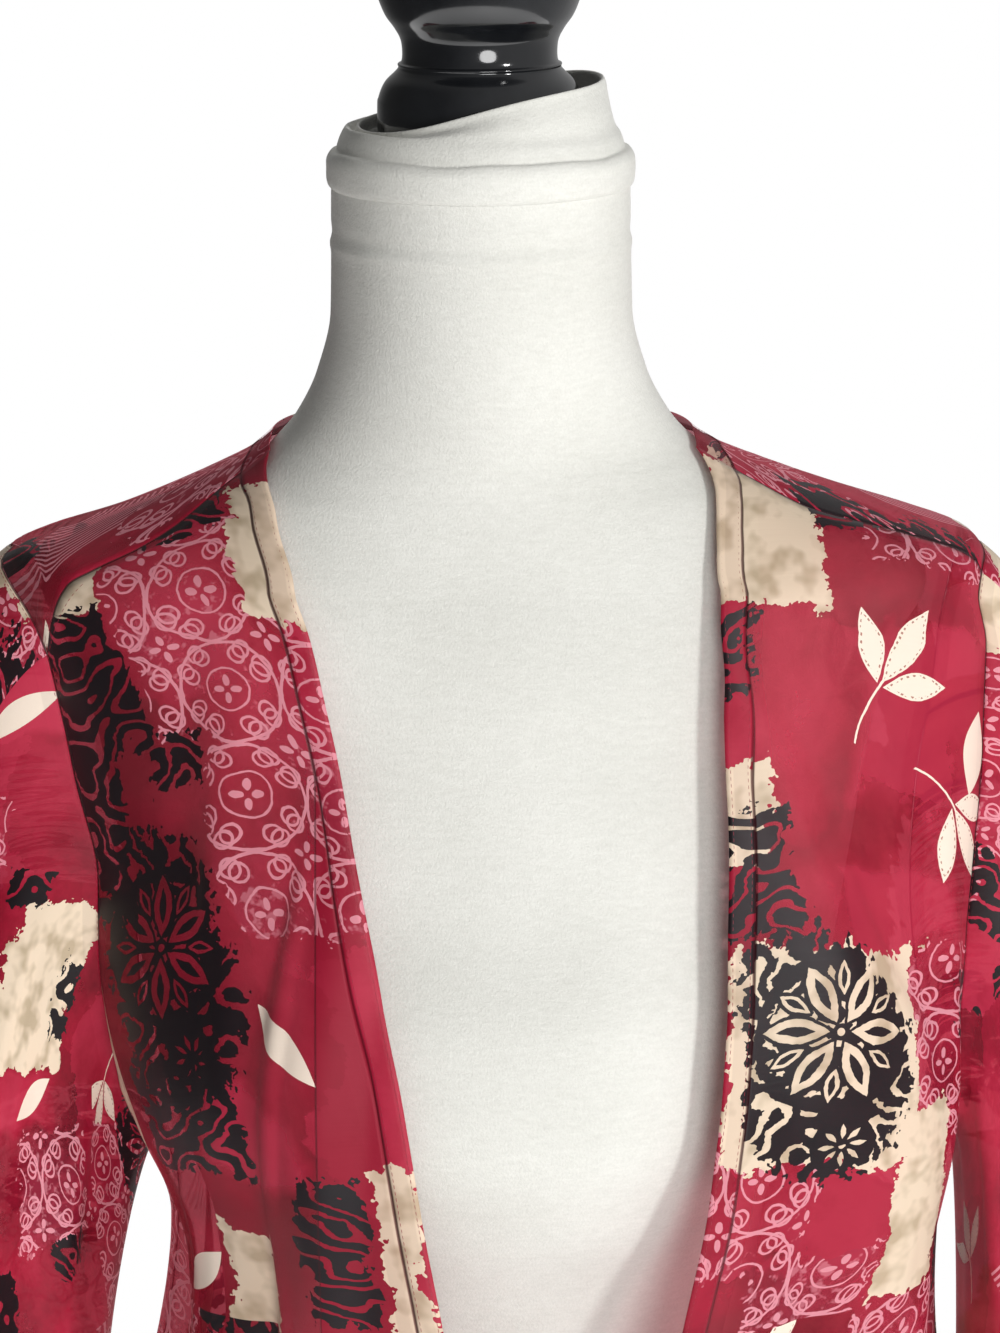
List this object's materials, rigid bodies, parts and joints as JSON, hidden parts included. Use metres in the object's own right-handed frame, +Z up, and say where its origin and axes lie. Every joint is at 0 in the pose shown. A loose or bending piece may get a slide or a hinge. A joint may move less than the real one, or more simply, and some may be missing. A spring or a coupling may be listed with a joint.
{
  "type": "kimono cardigan on a dress form",
  "caption": "Sheer open-front kimono cardigan with set-in sleeves and a narrow neck band, worn by a limbless dress form on a pole and round base.",
  "frame": {"origin": "centre of the round base's underside", "axes": "+Z up the pole; the open front faces -Y; +X is the right as seen from the front"},
  "size_m": [0.5623, 0.4, 1.6058],
  "materials": {
    "sheer_cloth": "sheer printed plain weave with a slight sheen",
    "sheer_band": "the same sheer cloth doubled",
    "jersey": "off-white knitted jersey",
    "black_gloss": "black gloss",
    "black_metal": "black satin paint"
  },
  "bodies": {
    "root": {"back": "sheer_cloth", "front_left": "sheer_cloth", "front_right": "sheer_cloth", "sleeve_left": "sheer_cloth", "sleeve_right": "sheer_cloth", "band_left": "sheer_band", "band_right": "sheer_band", "band_back": "sheer_band", "form_torso": "jersey", "form_jersey_top": "jersey", "form_finial": "black_gloss", "form_collar": "black_gloss", "form_pole": "black_metal", "form_base": "black_metal"}
  },
  "joints": []
}
